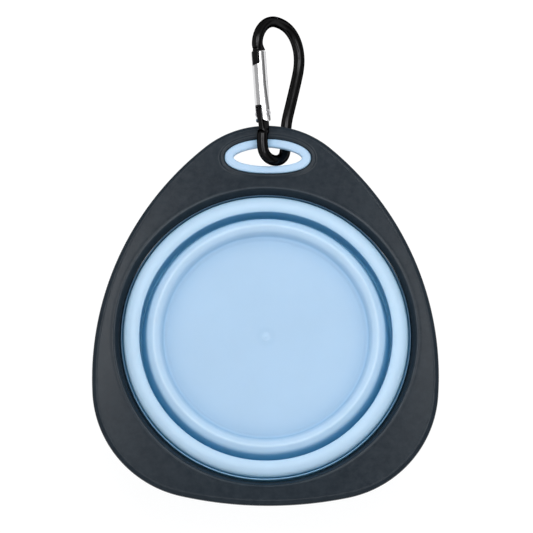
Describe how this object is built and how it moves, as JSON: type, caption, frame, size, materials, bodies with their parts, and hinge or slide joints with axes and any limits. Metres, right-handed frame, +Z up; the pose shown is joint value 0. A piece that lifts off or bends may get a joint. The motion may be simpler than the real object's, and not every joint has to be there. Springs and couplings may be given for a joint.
{
  "type": "collapsible travel bowl",
  "caption": "Collapsible travel bowl: a rounded-triangle plastic frame holds a soft two-stage bellows bowl folded flat, with a spring-gate carabiner hanging in a lined slot",
  "frame": {"origin": "centre of the flat underside of the bowl's base, on the bowl's axis", "axes": "+Z up out of the bowl's mouth, +Y from the bowl to the hanging slot and carabiner, +X to the right seen from above"},
  "size_m": [0.1384, 0.1993, 0.023],
  "materials": {
    "frame_plastic": "fine matte moulded polypropylene, slate grey",
    "soft_blue": "satin food-grade thermoplastic elastomer, pale blue",
    "black_anodised": "glossy black anodised round bar",
    "gate_silver": "bright drawn aluminium",
    "steel": "plain bright steel"
  },
  "bodies": {
    "frame": {"frame": "frame_plastic", "slot_lining": "soft_blue", "rim_band": "soft_blue", "upper_fold_web": "soft_blue"},
    "tier": {"tier_band": "soft_blue", "lower_fold_web": "soft_blue"},
    "base": {"base_cup": "soft_blue"},
    "carabiner": {"carabiner_hook": "black_anodised", "gate_pivot_rivet": "steel"},
    "gate": {"carabiner_gate": "gate_silver", "gate_spring": "steel"},
    "plunger": {"spring_plunger": "steel"}
  },
  "joints": [
    {"name": "upper_fold", "type": "slide", "parent": "frame", "child": "tier", "axis": [0, 0, -1], "range_m": [0, 0.0195], "deforming": ["upper_fold_web"]},
    {"name": "lower_fold", "type": "slide", "parent": "tier", "child": "base", "axis": [0, 0, -1], "range_m": [0, 0.0195], "deforming": ["lower_fold_web"]},
    {"name": "carabiner_turn", "type": "hinge", "parent": "frame", "child": "carabiner", "pos_m": [0.0024, 0.08003, 0.0066], "axis": [-0.0106, 0.9999, 0], "range_deg": [0, 86]},
    {"name": "gate_hinge", "type": "hinge", "parent": "carabiner", "child": "gate", "pos_m": [-0.00219, 0.09018, 0.01141], "axis": [-0.7313, -0.0077, -0.682], "range_deg": [0, 28], "stiffness_Nm_per_rad": 0.03, "springref_deg": -17.19},
    {"name": "plunger_slide", "type": "slide", "parent": "gate", "child": "plunger", "axis": [-0.0816, 0.9937, 0.0762], "range_m": [0, 0.0006]}
  ],
  "couplings": [
    {"joint": "plunger_slide", "follows": "gate_hinge", "m_per_rad": 0.00122}
  ]
}
